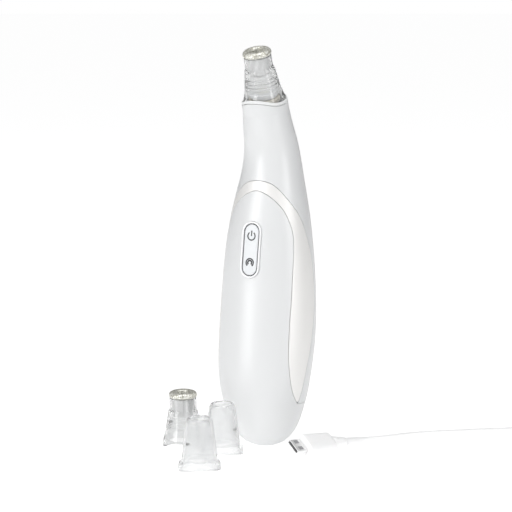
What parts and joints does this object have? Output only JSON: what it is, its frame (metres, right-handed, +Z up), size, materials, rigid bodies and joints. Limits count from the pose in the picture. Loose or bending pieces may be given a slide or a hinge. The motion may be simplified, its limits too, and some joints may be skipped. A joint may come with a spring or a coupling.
{
  "type": "blackhead vacuum extractor",
  "caption": "Upright hand-held pore suction device: tapered white body, silver side trim, key capsule, clear suction tip, spare tips and a loose charging lead.",
  "frame": {"origin": "centre of the flat foot under the body, on the table", "axes": "+Z up along the body towards the suction tip, -Y towards the user on the key side, +X to the right when seen from the back"},
  "size_m": [0.2185, 0.1368, 0.1739],
  "materials": {
    "white_shell": "pearl gloss",
    "silver_trim": "satin mirror",
    "key_grey": "satin",
    "milky_gasket": "satin, translucent",
    "inner_plastic": "moulded",
    "cell_wrap": "shrink wrap",
    "circuit_board": "solder mask",
    "switch_black": "moulded",
    "steel": "polished",
    "brass": "turned",
    "pump_black": "moulded",
    "dark_rubber": "matte",
    "silicone": "satin",
    "seal_beige": "satin",
    "filter_foam": "foam",
    "clear_tip": "clear, polished",
    "diamond_grit": "electroplated grit",
    "white_mould": "satin",
    "white_cable": "satin",
    "tie_black": "matte"
  },
  "bodies": {
    "extractor": {"front_shell": "white_shell", "rear_shell": "white_shell", "side_trim": "silver_trim", "key_bezel": "white_shell", "neck_gasket": "milky_gasket", "chassis": "inner_plastic", "chassis_screw_1": "steel", "chassis_screw_2": "steel", "chassis_screw_3": "steel", "chassis_screw_4": "steel", "battery": "cell_wrap", "main_board": "circuit_board", "key_board": "circuit_board", "key_switch_power": "switch_black", "key_switch_level": "switch_black", "motor_can": "steel", "pump_body": "pump_black", "pump_diaphragm": "dark_rubber", "pump_head": "inner_plastic", "suction_hose": "silicone", "tip_seat": "inner_plastic", "seal_ring": "seal_beige", "filter_pad": "filter_foam", "charge_board": "circuit_board", "charge_socket": "steel", "lead_plug_blade": "steel", "lead_plug_mould": "white_mould", "lead_plug_relief": "white_mould", "lead_cable": "white_cable", "lead_coil": "white_cable", "lead_tie": "tie_black", "lead_tail": "white_cable", "lead_wide_mould": "white_mould", "lead_wide_blade": "steel"},
    "key": {"key_pad": "key_grey"},
    "rotor": {"motor_eccentric": "brass"},
    "head": {"head_cone": "clear_tip", "head_sleeve": "steel", "head_grit_ring": "diamond_grit"},
    "spare_grit": {"spare_grit_cone": "clear_tip", "spare_grit_sleeve": "steel", "spare_grit_ring": "diamond_grit"},
    "spare_plain_a": {"spare_plain_cone_a": "clear_tip"},
    "spare_plain_b": {"spare_plain_cone_b": "clear_tip"}
  },
  "joints": [
    {"name": "key_rock", "type": "hinge", "parent": "extractor", "child": "key", "pos_m": [0, -0.01256, 0.08782], "axis": [1, 0, 0], "range_deg": [-2, 2], "stiffness_Nm_per_rad": 0.25},
    {"name": "rotor_spin", "type": "hinge", "parent": "extractor", "child": "rotor", "pos_m": [0, 0.006, 0.09], "axis": [0, 0, 1], "continuous": true},
    {"name": "head_pull", "type": "slide", "parent": "extractor", "child": "head", "axis": [0, -0.3256, 0.9455], "range_m": [0, 0.03]},
    {"name": "spare_grit_lift", "type": "slide", "parent": "extractor", "child": "spare_grit", "axis": [0, 0, 1], "range_m": [0, 0.03]},
    {"name": "spare_plain_a_lift", "type": "slide", "parent": "extractor", "child": "spare_plain_a", "axis": [0, 0, 1], "range_m": [0, 0.03]},
    {"name": "spare_plain_b_lift", "type": "slide", "parent": "extractor", "child": "spare_plain_b", "axis": [0.6648, -0.2404, 0.7072], "range_m": [0, 0.028]}
  ]
}
